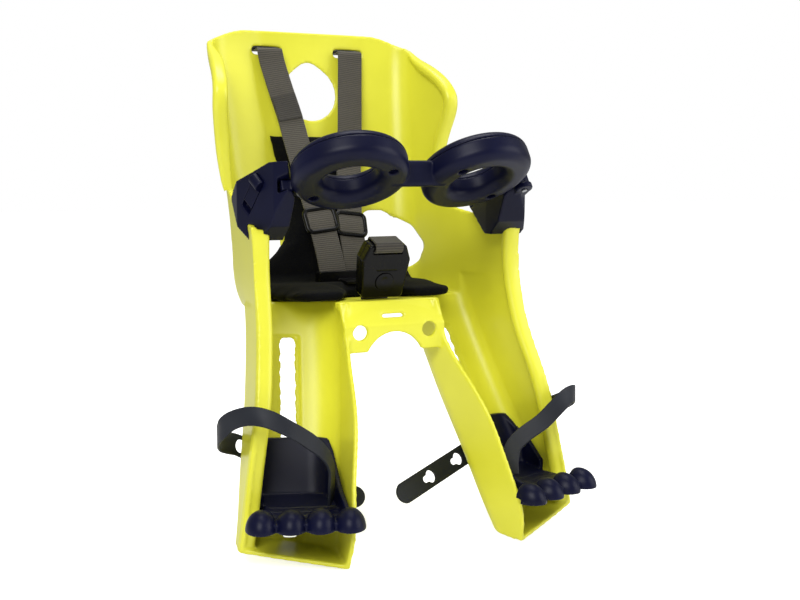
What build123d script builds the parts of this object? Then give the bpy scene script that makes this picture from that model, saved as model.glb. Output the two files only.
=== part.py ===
from build123d import *
from math import cos, radians, sin, tan
import os

# A front-mounted child seat for a bicycle, in millimetres.
# The origin is midway between the two rod holes in the front plate.
# X runs across the seat, -Y faces forward, +Z is up.
# Left and right are as seen from the front of the seat: left is -X.

# Shell walls
WALL = 4.0
PAN_WALL = 5.0
PAN_FRONT_Y = 13.0
PAN_FRONT_Z = 28.0
PAN_SLOPE = 0.075
SIDE_SLOPE = 0.1625
SIDE_REF_Y = 5.0
BACK_CREASE_R = 60.0

# Seat bucket, outer faces: height, back y, half width of the flat of the back,
# rear corner x and y, corner radius, half width at SIDE_REF_Y, front y
BUCKET_LEVELS = [
    (0, 176, 40, 86, 172, 28, 134, -12),
    (22, 184, 42, 100, 180, 30, 134, -5),
    (60, 192, 45, 104, 186, 32, 135, 4),
    (105, 201, 47, 104, 194, 31, 138, 4),
    (150, 210, 48, 106, 203, 30, 147, 4),
    (205, 221, 50, 109, 213, 29, 153, 4),
    (262, 233, 52, 113, 224, 28, 152, 4),
    (302, 234, 52, 113, 225, 28, 150, 4),
]

# Side view of the front edges of the wings and armrests: y and z
WING_EDGE = [(156, 127), (147, 160), (137, 194), (130, 213), (130, 228), (141, 242), (162, 256), (186, 267), (214, 282)]
ARMREST_TOP = [(4, 100), (60, 103), (120, 112)]
TOP_EDGE = [(0, 297), (30, 297), (60, 296.8), (78, 295.5), (92, 291.5), (104, 286.5), (120, 279), (170, 255)]

# Leg channels: height, inner wall front x and y, half width at SIDE_REF_Y, outer wall front y
LEG_LEVELS = [
    (44, 44.0, 14.0, 134.0, 1.0),
    (22, 46.0, 8.0, 134.0, -5.0),
    (-2, 48.5, 0.0, 135.0, -13.0),
    (-26, 53.5, -18.0, 137.3, -23.0),
    (-56, 61.5, -49.0, 140.9, -34.0),
    (-93, 70.5, -72.0, 146.7, -39.5),
    (-132, 78.5, -88.0, 152.8, -43.5),
    (-168, 84.0, -95.5, 158.4, -45.5),
    (-200, 88.5, -101.5, 163.5, -47.0),
]
INNER_LEAN = 0.185
INNER_CORNER_R = 30.0
OUTER_CORNER_R = 18.0
FLOOR_Z = -187.0
FLOOR_SLOPE = 0.15
FLOOR_REF_X = 86.0

# Plane of each leg's back wall, with its slot running down it
LEG_YAW = 18.6
LEG_LEAN = 29.0
SLOT_TOP = (83.7, 66.8, -9.8)
SLOT_W = 12.3
SLOT_L = 189.0
RECESS_W = 24.0
RECESS_DEPTH = 1.5
RECESS_TOP = 2.5
RACK_STEP = 13.0
RACK_TEETH = 14
RACK_TOOTH = 1.5

# Rounded lip along the front edges
LIP_W = 15.0
LIP_D = 11.0
LIP_R = 4.8
LIP_TOP_Z = 97.0
WING_LIP_PROUD = 0.7
WING_LIP_END = 2.6
WING_LIP_SWELL = [0.0, 0.55, 0.85, 1.0]

# Front plate with the two rod holes
PLATE_T = 5.0
BAND_RAISE = 1.5
ROD_SPACING = 70.4
ROD_HOLE_R = 7.0
ARCH_R = 30.0
ARCH_Z = -30.7
PLATE_FOOT_X = 51.5
PLATE_FOOT_Z = -18.5
PLATE_SIDE_Z = 8.0
BAND_TOP_Z = 23.0
PLATE_BEND_Z = 6.0
VENT_W = 23.0
VENT_H = 3.6
VENT_Z = 14.0

# Holes in the back
HEAD_HOLE_LOW = (231.5, 29.5)
HEAD_HOLE_TOP = (248.0, 16.5)
SHOULDER_X = 46.7
SHOULDER_Z = 276.0
SHOULDER_W = 33.0
SHOULDER_H = 9.0
BACK_HOLE = [(44, 46), (44, 104), (66, 104.5), (100, 88), (112, 68), (107, 50), (97, 42)]
BACK_HOLE_RADII = (9, 9, 12, 14, 12, 12, 12)
BACK_HOLE_YAW = 18.0
BACK_HOLE_Y = 190.0

CLEAR = 0.3
FIT = 0.05

# Slot in the seat pan for the crotch strap
PAN_SLOT_Y = 50.0
PAN_SLOT = (33.0, 6.0)

# Safety bar: two tilted rings joined by a bridge
RING_X = 61.0
RING_Y = -38.0
RING_Z = 150.0
RING_R = 38.0
RING_W = 26.5
RING_LOW = 16.0
RING_HIGH = 12.0
RING_ROUND = 10.0
RING_TURN = 7.0
RING_TILT = 30.0
PARTING = 4.0
BRIDGE_Y = -43.6
BRIDGE_Z = 146.0
CAP_SCREW_ANGLES = (-145, 40)
CAP_SCREW_R = 2.0
CAP_HEAD_R = 4.0
CAP_HEAD_Z = -9.0

# Hinge knuckle and latch tongue, in the plane of a ring
KNUCKLE_X = 61.5
KNUCKLE_Y = 14.0
KNUCKLE_R = 7.0
KNUCKLE_MID = -4.0
KNUCKLE_T = 10.0
PIN_R = 2.5
LUG_T = 5.5
LUG_R = 8.5
TONGUE_X = 47.0
TONGUE_Y = 26.0
TONGUE_L = 20.0
TONGUE_W = 12.0

# Brackets on the armrests: side view y and z, and plan x and y
BRACKET_SIDE = [(10, 87), (24, 87), (78, 123), (50, 136), (25, 145), (-5, 156), (-22, 157), (-22, 131), (-6, 100)]
RIGHT_PLAN = [(140, 5), (138, 30), (128, 84), (112, 84), (106, 20), (104, -20), (118, -22), (132, -10)]
LEFT_PLAN = [(139, 40), (134, 74), (126, 84), (112, 84), (106, 20), (104, -20), (112, -22), (121, -12)]
BRACKET_SCREW_Y = 56.0
BRACKET_SCREW_Z = 116.0

# Thumb latch in the left bracket: place of its middle, travel and roll
LATCH_AT = (130.6, 15.7, 130.7)
LATCH_SLIDE = (-0.199, 0.582, -0.788)
LATCH_W = 13.0
LATCH_L = 30.0
LATCH_TRAVEL = 6.0
LATCH_ROLL_R = 5.5

# Harness webbing and its fittings
WEB_W = 28.0
WEB_T = 1.8
ANCHOR_R = 3.0
LEFT_STRAP = [(-46, 222, 276), (-44, 219, 262), (-38, 209, 232), (-31, 200, 202), (-28, 186, 173),
              (-22, 167, 132), (-17, 150, 97), (-15, 133, 66), (-14.5, 124, 48), (-14.2, 121, 39)]
LEFT_LEAN = 0.15
RIGHT_LEAN = -0.12
RIGHT_STRAP = [(46, 222, 276), (45, 219, 262), (41, 210, 230), (35, 196, 191), (28, 182, 150), (21, 164, 115),
               (17, 151, 92), (15.5, 137, 66), (14.5, 129, 48), (14.2, 126, 39)]
SLIDER_W = 31.6
SLIDER_L = 25.0
SLIDER_T = 6.0

# Crotch buckle: place of its middle and lean
BUCKLE_AT = (0.0, 31.5, 56.0)
BUCKLE_LEAN = 18.7
BUCKLE_FRONT = [(-21, -27), (21, -27), (24.5, 12), (18.5, 27), (-18.5, 27), (-24.5, 12)]
BUCKLE_SLOT_Y = 20.5
BUCKLE_SLOT = (30.0, 4.6)
CROTCH_W = 28.0
CROTCH_PATH = [(-16, -11.5), (0, -10.6), (18, -10.6), (26, -10.4), (28.6, -8.5), (29, -5), (29, 5), (28.6, 8.5),
               (26, 10.6), (22.5, 10.8), (20.6, 9), (20.2, 6), (20.2, -6)]
BUCKLE_T = 9.0
BUTTON_R = 9.0
BUTTON_Y = -10.0
BUTTON_TRAVEL = 3.0

# Pad: side view of its face y and z, front view half widths, plan of a lobe
PAD_T = 11.0
PAD_FACE = [(150, 0), (164, 8), (173, 60), (182, 105), (191, 150), (199, 189)]
PAD_HALF = [(189, 54), (161, 49), (144, 43), (118, 39), (99, 39), (76, 47), (58, 64), (44, 88)]
PAD_PLAN = [(0, 86), (16, 84), (24, 60), (38, 37), (46, 33), (66, 33), (78, 39), (85, 52), (92, 90), (94, 200), (0, 240)]

# Footrest, in a frame level with the ground and square to the leg's back wall
FOOT_AT = (106.2, 0.0, -137.0)
FOOT_LEAN = 0.554
FOOT_WALL = 4.5
FOOT_TOP = 42.0
FOOT_LOW = -10.0
SOLE_T = 7.0
SOLE_PLAN = [(-38, -7), (40, -7), (31, -36), (22, -44), (22, -66), (26, -80), (30, -96), (-56, -96), (-56, -84),
             (-48, -81)]
FOOT_ROOM = 3.5
TOE_X = -49.5
TOE_STEP = 24.5
TOE_Y = -87.0
TOE_SIZE = (13.6, 17.5, 17.0)
TRAY_INNER = [(14, 42), (-7, 26), (-45, 12), (-85, 3), (-85, -10), (40, -10), (40, 42)]
TRAY_OUTER = [(14, 42), (0, 30), (-14, -10), (40, -10), (40, 42)]
GUSSET = [(5, -10), (17, 42), (-42, 6), (-42, -10)]
GUSSET_X = 35.5
GUSSET_YAW = -19.0
NECK_L = 30.0
NECK_DOWN = 128.0
LOCK_GAP = 0.5
LOCK_W = 32.0
LOCK_L = 46.0
LOCK_T = 6.0
STUD_R = 3.0
STUD_HEAD_R = 6.0
FOOT_DOWN = 26.0
FOOT_UP = 13.0
BAND_W = 16.0
BAND_T = 2.2

# Foot straps: points along each, with the way its width runs, the stud's place last but a few
LEFT_SLOPE = 26.0
RIGHT_SLOPE = 13.0
LEFT_TAIL = 76.0
RIGHT_TAIL = 126.0
BAND_STEP = 43.0
TAIL_W = 20.0
KEYHOLE_R = 6.2
KEYHOLE_AT = 8.0
STUD_UP = 4.0
LEFT_BAND = [
    ((-90, -62, -135), (0.58, 0.73, 0.37)), ((-90.5, -65, -118), (0.58, 0.73, 0.37)),
    ((-91, -66, -104), (0.5, 0.75, 0.43)), ((-98, -70, -90), (0.4, 0.7, 0.6)),
    ((-112, -71, -77), (0.2, 0.5, 0.85)), ((-131, -71, -64), (0.1, 0.6, 0.8)),
    ((-147, -63, -56), (0, 0.6, 0.8)), ((-160, -52, -55), (-0.1, 0.3, 0.95)),
    ((-171, -39, -61), (-0.1, 0, 1)), ((-176, -27, -71), (0, -0.2, 1)),
    ((-174, -10, -80), (0, 0, 1)), ((-167, 8, -89), (0, 0, 1)),
    ((-157, 22, -95), (0, 0.1, 1)), ((-146, 32, -100), (0.1, 0.3, 1)), ((-137, 34, -105), (0.1, 0.4, 0.9)),
]
RIGHT_BAND = [
    ((90, -60, -132), (-0.58, 0.73, 0.37)), ((92, -56, -120), (-0.58, 0.73, 0.37)),
    ((97, -53, -108), (-0.4, 0.75, 0.5)), ((108, -55, -97), (-0.2, 0.7, 0.7)),
    ((125, -58, -86), (-0.1, 0.6, 0.8)), ((142, -56, -74), (0, 0.6, 0.8)),
    ((158, -50, -66), (0.1, 0.5, 0.9)), ((172, -40, -66), (0.1, 0.2, 1)),
    ((180, -26, -72), (0, 0, 1)), ((179, -10, -80), (0, 0, 1)),
    ((171, 8, -90), (0, 0, 1)), ((160, 23, -99), (0, 0.1, 1)), ((148, 33, -105), (-0.1, 0.3, 1)),
    ((138, 37, -109), (-0.1, 0.4, 0.9)),
]


def crossing(p, u, q, v):
    """Where the plan line through p along u meets the one through q along v."""
    det = u[0] * v[1] - u[1] * v[0]
    along = ((q[0] - p[0]) * v[1] - (q[1] - p[1]) * v[0]) / det
    return (p[0] + along * u[0], p[1] + along * u[1])


def outline(points, radii, z):
    """A closed plan outline at height z, each corner rounded by its own radius."""
    corners = [Vector(x, y) for x, y in points]
    starts = []
    ends = []
    arcs = []
    for i, corner in enumerate(corners):
        before = (corners[i - 1] - corner).normalized()
        after = (corners[(i + 1) % len(corners)] - corner).normalized()
        half = radians(before.get_angle(after)) / 2
        reach = radii[i] / tan(half)
        middle = (before + after).normalized()
        starts.append(corner + before * reach)
        ends.append(corner + after * reach)
        arcs.append(corner + middle * (radii[i] / sin(half) - radii[i]))
    edges = []
    for i in range(len(corners)):
        if radii[i] > 0:
            edges.append(ThreePointArc(starts[i], arcs[i], ends[i]))
        edges.append(Line(ends[i], starts[(i + 1) % len(corners)]))
    return Pos(0, 0, z) * make_face(edges)


def side_x(half, y):
    """Outer face of the side wall at depth y, given its half width at SIDE_REF_Y."""
    return half - SIDE_SLOPE * (y - SIDE_REF_Y)


def bucket_outline(level, inset, front):
    """Plan of the bucket, inset from its outer faces and closed at y = front."""
    z, back, flat, corner_x, corner_y, radius, half, _ = level
    right = [
        (side_x(half, front) - inset, front),
        (corner_x - inset, corner_y - inset),
        (flat, back - inset),
    ]
    left = [(-x, y) for x, y in reversed(right)]
    radii = [0, radius - inset, BACK_CREASE_R]
    return outline(right + left, radii + radii[::-1], z)


def pan_space(drop):
    """Everything above the plane of the seat pan, lowered by drop."""
    plane = Plane(origin=(0, PAN_FRONT_Y, PAN_FRONT_Z - drop), x_dir=(1, 0, 0), z_dir=(0, PAN_SLOPE, 1))
    return plane * Pos(0, 0, 300) * Box(800, 1000, 600)


def slot_at(z, behind):
    """Plan point of the slot's centre line at height z, on a face that lies behind the channel's."""
    down = (SLOT_TOP[2] - z) * tan(radians(LEG_LEAN)) - behind / cos(radians(LEG_LEAN))
    return (SLOT_TOP[0] + down * sin(radians(LEG_YAW)), SLOT_TOP[1] - down * cos(radians(LEG_YAW)))


def channel_outline(level, grow, reach):
    """Plan of a leg channel's hollow, grown outwards, its mouth moved forward by reach."""
    z, inner_x, inner_y, half, outer_y = level
    back_dir = (cos(radians(LEG_YAW)), sin(radians(LEG_YAW)))
    inner_dir = (-INNER_LEAN, 1.0)
    outer_dir = (-SIDE_SLOPE, 1.0)
    inner = (inner_x + WALL / 2 - grow, inner_y)
    outer = (side_x(half, outer_y) - WALL + grow, outer_y)
    middle = slot_at(z, grow)
    rear_inner = crossing(inner, inner_dir, middle, back_dir)
    rear_outer = crossing(outer, outer_dir, middle, back_dir)
    front_inner = (inner[0] + INNER_LEAN * reach, inner[1] - reach)
    front_outer = (outer[0] + SIDE_SLOPE * reach, outer[1] - reach)
    points = [front_inner, rear_inner, rear_outer, front_outer]
    return outline(points, [0, INNER_CORNER_R + grow, OUTER_CORNER_R + grow, 0], z)


def leg_plane(down=0.0, forward=0.0):
    """Plane of the right leg's back wall: x outwards, y up the slot, z out of the channel."""
    yaw = radians(LEG_YAW)
    lean = radians(LEG_LEAN)
    normal = Vector(sin(yaw) * cos(lean), -cos(yaw) * cos(lean), sin(lean))
    drop = Vector(sin(yaw) * sin(lean), -cos(yaw) * sin(lean), -cos(lean))
    origin = Vector(*SLOT_TOP) + drop * down + normal * forward
    return Plane(origin=origin, x_dir=(cos(yaw), sin(yaw), 0), z_dir=normal)


def both(solid):
    """A right-hand solid together with its mirror image."""
    return solid + mirror(solid, about=Plane.YZ)


def floor_space(rise):
    """Everything above the sloping floor of the right leg channel, raised by rise."""
    plane = Plane(origin=(FLOOR_REF_X, 0, FLOOR_Z + rise), x_dir=(1, 0, FLOOR_SLOPE),
                  z_dir=(-FLOOR_SLOPE, 0, 1))
    return plane * Pos(0, 0, 200) * Box(700, 700, 400)


def front_lip():
    """Rounded lip down the front edge of the right armrest and leg."""
    rows = [(LIP_TOP_Z, 134.3, 4.0), (70, 134.0, 4.0)]
    rows += [(z, half, front) for z, _, _, half, front in LEG_LEVELS]
    sections = []
    for z, half, front in rows:
        centre = (side_x(half, front) - LIP_W / 2, front + LIP_D / 2, z)
        sections.append(Pos(*centre) * RectangleRounded(LIP_W, LIP_D, LIP_R))
    return loft(sections)


def half_width_at(z):
    """Half width of the bucket at SIDE_REF_Y and height z, between its levels."""
    for low, high in zip(BUCKET_LEVELS, BUCKET_LEVELS[1:]):
        if z <= high[0]:
            share = (z - low[0]) / (high[0] - low[0])
            return low[6] + share * (high[6] - low[6])
    return BUCKET_LEVELS[-1][6]


def wing_lip():
    """Rounded lip along the front edge of the right wing."""
    edge = Spline(*[(0, y, z) for y, z in WING_EDGE])
    steps = 12
    sections = []
    for i in range(steps + 1):
        spot = edge @ (i / steps)
        tangent = edge % (i / steps)
        inward = Vector(0, tangent.Z, -tangent.Y)
        swell = WING_LIP_SWELL[min(i, steps - i, len(WING_LIP_SWELL) - 1)]
        wide = WING_LIP_END + (LIP_W - WING_LIP_END) * swell
        deep = WING_LIP_END + (LIP_D - WING_LIP_END) * swell
        proud = WING_LIP_PROUD * (2 * swell - 1)
        centre = spot + inward * (deep / 2 - proud)
        x = side_x(half_width_at(spot.Z), spot.Y) - wide / 2 + proud
        plane = Plane(origin=(x, centre.Y, centre.Z), x_dir=(1, 0, 0), z_dir=tangent)
        sections.append(plane * RectangleRounded(wide, deep, 0.43 * deep))
    return loft(sections)


def above_top():
    """The space above the top edge of the back."""
    edge = Spline(*[(-x, z) for x, z in reversed(TOP_EDGE[1:])], *TOP_EDGE)
    x, z = TOP_EDGE[-1]
    rest = Polyline((x, z), (x, z + 200), (-x, z + 200), (-x, z))
    return extrude(Plane.XZ * make_face([*edge.edges(), *rest.edges()]), 400, both=True)


def open_front():
    """The space in front of the wings and above the armrests."""
    wing = Spline(*WING_EDGE)
    low = Polyline(*ARMREST_TOP, WING_EDGE[0])
    rest = Polyline(WING_EDGE[-1], (WING_EDGE[-1][0], 400), (-200, 400), (-200, ARMREST_TOP[0][1]), ARMREST_TOP[0])
    return extrude(Plane.YZ * make_face([*wing.edges(), *low.edges(), *rest.edges()]), 300, both=True)


def front_plate():
    """The arched front plate, with its raised band and the bend up to the seat pan."""
    def side(step):
        return [
            (step, PLATE_FOOT_Z), (step, PLATE_BEND_Z), (PAN_FRONT_Y, PAN_FRONT_Z),
            (PAN_FRONT_Y + 12, PAN_FRONT_Z - 12 * PAN_SLOPE), (PAN_FRONT_Y + 12, PAN_FRONT_Z - PAN_WALL - 2),
            (PAN_FRONT_Y + 3, PAN_FRONT_Z - PAN_WALL - 2), (PLATE_T, PLATE_BEND_Z - 2), (PLATE_T, PLATE_FOOT_Z),
        ]
    slab = extrude(Plane.YZ * make_face(Polyline(*side(BAND_RAISE), close=True)), PLATE_FOOT_X, both=True)
    band_slab = extrude(Plane.YZ * make_face(Polyline(*side(0), close=True)), PLATE_FOOT_X, both=True)
    crown = ThreePointArc((PLATE_FOOT_X, PLATE_SIDE_Z), (0, BAND_TOP_Z), (-PLATE_FOOT_X, PLATE_SIDE_Z))
    feet = Polyline((-PLATE_FOOT_X, PLATE_SIDE_Z), (-PLATE_FOOT_X, PLATE_FOOT_Z), (PLATE_FOOT_X, PLATE_FOOT_Z),
                    (PLATE_FOOT_X, PLATE_SIDE_Z))
    band_face = Plane.XZ * make_face([crown, *feet.edges()])
    band = band_slab & extrude(band_face, 60, both=True)
    arch = Pos(0, 0, ARCH_Z) * Rot(90, 0, 0) * Cylinder(ARCH_R, 200)
    vent = Pos(0, 8, VENT_Z) * Box(VENT_W, 40, VENT_H)
    return slab + band - arch - vent


def back_holes():
    """The head hole, the shoulder slots and the two lower holes of the back."""
    low = Pos(0, HEAD_HOLE_LOW[0]) * Circle(HEAD_HOLE_LOW[1])
    top = Pos(0, HEAD_HOLE_TOP[0]) * Circle(HEAD_HOLE_TOP[1])
    head_face = Plane.XZ * make_hull([*low.edges(), *top.edges()])
    head = Pos(0, 210, 0) * extrude(head_face, 70, both=True)
    slot_face = Plane.XZ * Pos(SHOULDER_X, SHOULDER_Z) * RectangleRounded(SHOULDER_W, SHOULDER_H, SHOULDER_H * 0.45)
    slot = Pos(0, 215, 0) * extrude(slot_face, 50, both=True)
    yaw = radians(BACK_HOLE_YAW)
    corner = Plane(origin=(0, BACK_HOLE_Y, 0), x_dir=(cos(yaw), -sin(yaw), 0), z_dir=(-sin(yaw), -cos(yaw), 0))
    hole = corner * extrude(outline(BACK_HOLE, BACK_HOLE_RADII, 0), 30, both=True)
    return [head, slot, left(slot), hole, left(hole)]


def leg_slot():
    """The slot, its shallow recess and its rack of notches in the right leg's back wall."""
    slot = leg_plane(SLOT_L / 2) * Box(SLOT_W, SLOT_L, 6 * WALL)
    recess = leg_plane(SLOT_L / 2, RECESS_DEPTH) * Box(RECESS_W, SLOT_L + 2 * RECESS_TOP, 4 * RECESS_DEPTH)
    edge = []
    for i in range(RACK_TEETH):
        top = -RACK_STEP * (i + 0.35)
        low = top - RACK_STEP / 2
        half = SLOT_W / 2
        edge += [(half, top), (half + RACK_TOOTH, top), (half + RACK_TOOTH, low), (half, low)]
    comb = edge + [(-x, y) for x, y in reversed(edge)]
    rack = extrude(leg_plane(0, -2 * WALL) * make_face(Polyline(*comb, close=True)), 1.5 * WALL)
    return [slot, recess, rack]


def seat_shell():
    outer = loft([bucket_outline(level, 0, level[7]) for level in BUCKET_LEVELS])
    inner = loft([bucket_outline(level, WALL, level[7] - 80) for level in BUCKET_LEVELS])
    outer &= pan_space(PAN_WALL)
    outer -= above_top()
    outer -= Pos(0, PAN_FRONT_Y + PLATE_T - 100, 0) * Box(2 * PLATE_FOOT_X, 200, 90)
    outer -= [inner & pan_space(0), open_front(), *back_holes()]
    channel_out = loft([channel_outline(level, WALL, 0) for level in LEG_LEVELS])
    channel_out = (channel_out & floor_space(0)) - pan_space(0)
    channel_in = loft([channel_outline(level, 0, 60) for level in LEG_LEVELS]) & floor_space(WALL)
    channel_out -= [channel_in, *leg_slot()]
    lips = (front_lip() & floor_space(0)) + wing_lip()
    outer -= [channel_in, left(channel_in)]
    outer += [channel_out, left(channel_out), lips, left(lips), front_plate()]
    rods = [Pos(x, 0, 0) * Rot(90, 0, 0) * Cylinder(ROD_HOLE_R, 40) for x in (-ROD_SPACING / 2, ROD_SPACING / 2)]
    pan_slot = Pos(0, PAN_SLOT_Y, 20) * Box(PAN_SLOT[0], PAN_SLOT[1], 40)
    return outer - [*rods, pan_slot]


def left(solid):
    """The mirror image of a right-hand solid."""
    return mirror(solid, about=Plane.YZ)


def ring_plane():
    """Plane of the right ring of the safety bar: x outwards, y backwards, z out of its top."""
    turn = radians(RING_TURN)
    tilt = radians(RING_TILT)
    normal = Vector(-sin(turn) * sin(tilt), cos(turn) * sin(tilt), cos(tilt))
    return Plane(origin=(RING_X, RING_Y, RING_Z), x_dir=(cos(turn), sin(turn), 0), z_dir=normal)


def ring_body():
    """One whole ring, flat in its own plane."""
    height = RING_HIGH + RING_LOW
    section = Plane.XZ * Pos(RING_R, (RING_HIGH - RING_LOW) / 2) * RectangleRounded(RING_W, height, RING_ROUND)
    return revolve(section, Axis.Z)


def cap_screw_spots():
    """Where the two screws of a ring stand, in the ring's plane."""
    return [(RING_R * cos(radians(a)), RING_R * sin(radians(a))) for a in CAP_SCREW_ANGLES]


def ring_cap():
    """Upper half of a ring, with its two blind screw holes."""
    cap = ring_body() & Pos(0, 0, PARTING + 30) * Box(200, 200, 60)
    holes = [Pos(x, y, PARTING + 2.5) * Cylinder(CAP_SCREW_R + FIT, 5) for x, y in cap_screw_spots()]
    return cap - holes


def ring_base():
    """Lower half of a ring, with its parting groove and its screw holes and recesses."""
    base = ring_body() & Pos(0, 0, PARTING - 30) * Box(200, 200, 60)
    tools = [Pos(0, 0, PARTING - 0.5) * (Cylinder(80, 1) - Cylinder(RING_R + RING_W / 2 - 0.8, 1))]
    for x, y in cap_screw_spots():
        tools.append(Pos(x, y, 0) * Cylinder(CAP_SCREW_R + FIT, 40))
        tools.append(Pos(x, y, CAP_HEAD_Z - 10) * Cylinder(CAP_HEAD_R + CLEAR, 20))
    return base - tools


def bar_frame():
    """Lower ring halves, bridge, latch tongue on the left and hinge knuckle on the right, one moulding."""
    bridge = Pos(0, BRIDGE_Y, BRIDGE_Z) * fillet(Box(50, 17, 23).edges().filter_by(Axis.X), 4)
    hole = ring_plane() * (Cylinder(RING_R - 2, 80))
    bridge -= hole
    bridge -= left(hole)
    cap_space = ring_plane() * (Pos(0, 0, PARTING + 20) * Cylinder(RING_R + RING_W / 2 + 0.02, 40))
    bridge -= cap_space
    bridge -= left(cap_space)
    knuckle = Pos(KNUCKLE_X, KNUCKLE_Y, KNUCKLE_MID) * Cylinder(KNUCKLE_R, KNUCKLE_T)
    knuckle += Pos(KNUCKLE_X - 9, KNUCKLE_Y - 1, KNUCKLE_MID) * Box(18, 11, KNUCKLE_T)
    tongue = Pos(TONGUE_X, TONGUE_Y, KNUCKLE_MID) * Box(TONGUE_L, TONGUE_W, KNUCKLE_T)
    frame = ring_plane() * (ring_base() + knuckle)
    frame += left(ring_plane() * (ring_base() + tongue))
    frame += bridge
    return frame - ring_plane() * Pos(KNUCKLE_X, KNUCKLE_Y, KNUCKLE_MID) * Cylinder(PIN_R + FIT, 40)


def bar_screws():
    """The four screws that hold the ring caps down."""
    screws = []
    for x, y in cap_screw_spots():
        screw = Pos(x, y, (CAP_HEAD_Z + 8) / 2) * Cylinder(CAP_SCREW_R, 8 - CAP_HEAD_Z)
        screw += Pos(x, y, CAP_HEAD_Z - 1.2) * Cylinder(CAP_HEAD_R, 2.4)
        screw -= Pos(x, y, CAP_HEAD_Z - 2) * Box(5, 1, 2)
        screws.append(ring_plane() * screw)
    return screws


def bracket_body(shell, outline_points):
    """Faceted bracket on the right armrest, cut to the shell and clear of the ring."""
    side = extrude(Plane.YZ * make_face(Polyline(*BRACKET_SIDE, close=True)), 200)
    plan = Pos(0, 0, 60) * extrude(make_face(Polyline(*outline_points, close=True)), 140)
    body = side & plan
    body = body - ring_plane() * Cylinder(RING_R + RING_W / 2 + 0.8, 60)
    body -= shell
    return largest(body)


def largest(shape):
    """The biggest of the solids that a cut leaves."""
    return max(shape.solids(), key=lambda solid: solid.volume)


def bracket_right(shell):
    """Right bracket with the two lugs that carry the hinge pin."""
    body = bracket_body(shell, RIGHT_PLAN)
    reach = KNUCKLE_T / 2 + CLEAR
    lugs = None
    for side in (-1, 1):
        at = KNUCKLE_MID + side * (reach + LUG_T / 2)
        lug = Pos(KNUCKLE_X, KNUCKLE_Y, at) * Cylinder(LUG_R, LUG_T)
        lug += Pos(KNUCKLE_X + 1, KNUCKLE_Y + 10, at) * Box(15, 20, LUG_T)
        lugs = lug if lugs is None else lugs + lug
    body += ring_plane() * (lugs - Cylinder(RING_R + RING_W / 2 + 0.8, 60))
    room = Pos(KNUCKLE_X, KNUCKLE_Y, KNUCKLE_MID) * Cylinder(KNUCKLE_R + 1, 2 * reach)
    room += Pos(KNUCKLE_X - 12, KNUCKLE_Y - 4, KNUCKLE_MID) * Box(24, 20, 2 * reach)
    body -= ring_plane() * room
    body -= ring_plane() * Pos(KNUCKLE_X, KNUCKLE_Y, KNUCKLE_MID) * Cylinder(PIN_R + FIT, 60)
    body -= ring_plane() * Pos(KNUCKLE_X, KNUCKLE_Y, KNUCKLE_MID + reach + LUG_T + 15) * Cylinder(PIN_R + 2.4, 30)
    body -= bracket_screw_room()
    return largest(body - shell)


def hinge_pin():
    """Headed pin through the lugs and the knuckle."""
    reach = KNUCKLE_T / 2 + CLEAR + LUG_T
    pin = Pos(KNUCKLE_X, KNUCKLE_Y, KNUCKLE_MID) * Cylinder(PIN_R, 2 * reach + 2)
    pin += Pos(KNUCKLE_X, KNUCKLE_Y, KNUCKLE_MID + reach + 1) * Cylinder(PIN_R + 2, 2)
    return ring_plane() * pin


def latch_plane():
    """Plane of the left bracket's thumb latch: x down the slide, z out of the bracket's front facet."""
    (x, y), (next_x, next_y) = LEFT_PLAN[-1], LEFT_PLAN[0]
    facet = Vector(y - next_y, x - next_x, 0)
    return Plane(origin=(-LATCH_AT[0], LATCH_AT[1], LATCH_AT[2]), x_dir=LATCH_SLIDE, z_dir=facet)


def latch_button():
    """Thumb latch: a flat slide with a roll at its upper end."""
    slide = Pos(0, 0, -2.5) * Box(LATCH_L, LATCH_W, 5)
    roll = Pos(LATCH_ROLL_R - LATCH_L / 2, 0, 0) * Rot(90, 0, 0) * Cylinder(LATCH_ROLL_R, LATCH_W)
    return latch_plane() * (slide + roll)


def bracket_left(shell):
    """Left bracket with the pockets for the bar's tongue and the thumb latch."""
    body = left(bracket_body(shell, LEFT_PLAN))
    depth = TONGUE_L + 6
    pocket = Pos(TONGUE_X, TONGUE_Y - 20, KNUCKLE_MID) * Box(depth, TONGUE_W + 41.2, KNUCKLE_T + 1.2)
    body -= left(ring_plane() * pocket)
    room = Pos(LATCH_TRAVEL / 2, 0, 20) * Box(LATCH_L + LATCH_TRAVEL + 1, LATCH_W + 1, 52)
    body -= latch_plane() * room
    body -= left(bracket_screw_room())
    return largest(body)


def bracket_screw_room():
    """Hole and recess of the right bracket's screw."""
    spot = Pos(0, BRACKET_SCREW_Y, BRACKET_SCREW_Z) * Rot(0, 90, 0)
    return spot * (Pos(0, 0, 110) * Cylinder(4.3, 12) + Pos(0, 0, 121) * Cylinder(2.05, 12))


def bracket_screws():
    """The screws of both brackets, driven from the rider's side."""
    spot = Pos(0, BRACKET_SCREW_Y, BRACKET_SCREW_Z) * Rot(0, 90, 0)
    screw = spot * (Pos(0, 0, 114.5) * Cylinder(4, 3) + Pos(0, 0, 120.5) * Cylinder(2, 9))
    return [screw]


def ribbon(points, across, width, thick):
    """A flat band along points, its width turned towards the direction given at each."""
    spots = [Vector(*p) for p in points]
    sections = []
    for i, spot in enumerate(spots):
        tangent = (spots[min(i + 1, len(spots) - 1)] - spots[max(i - 1, 0)]).normalized()
        aim = Vector(*(across[i] if isinstance(across, list) else across))
        aim = (aim - tangent * aim.dot(tangent)).normalized()
        sections.append(Plane(origin=spot, x_dir=aim, z_dir=tangent) * Rectangle(width, thick))
    return loft(sections, ruled=True)


def anchor_centre(x):
    """Where the bar stands that a shoulder strap is looped round behind its slot."""
    return Vector(x, 240.5, 280.6)


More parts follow.
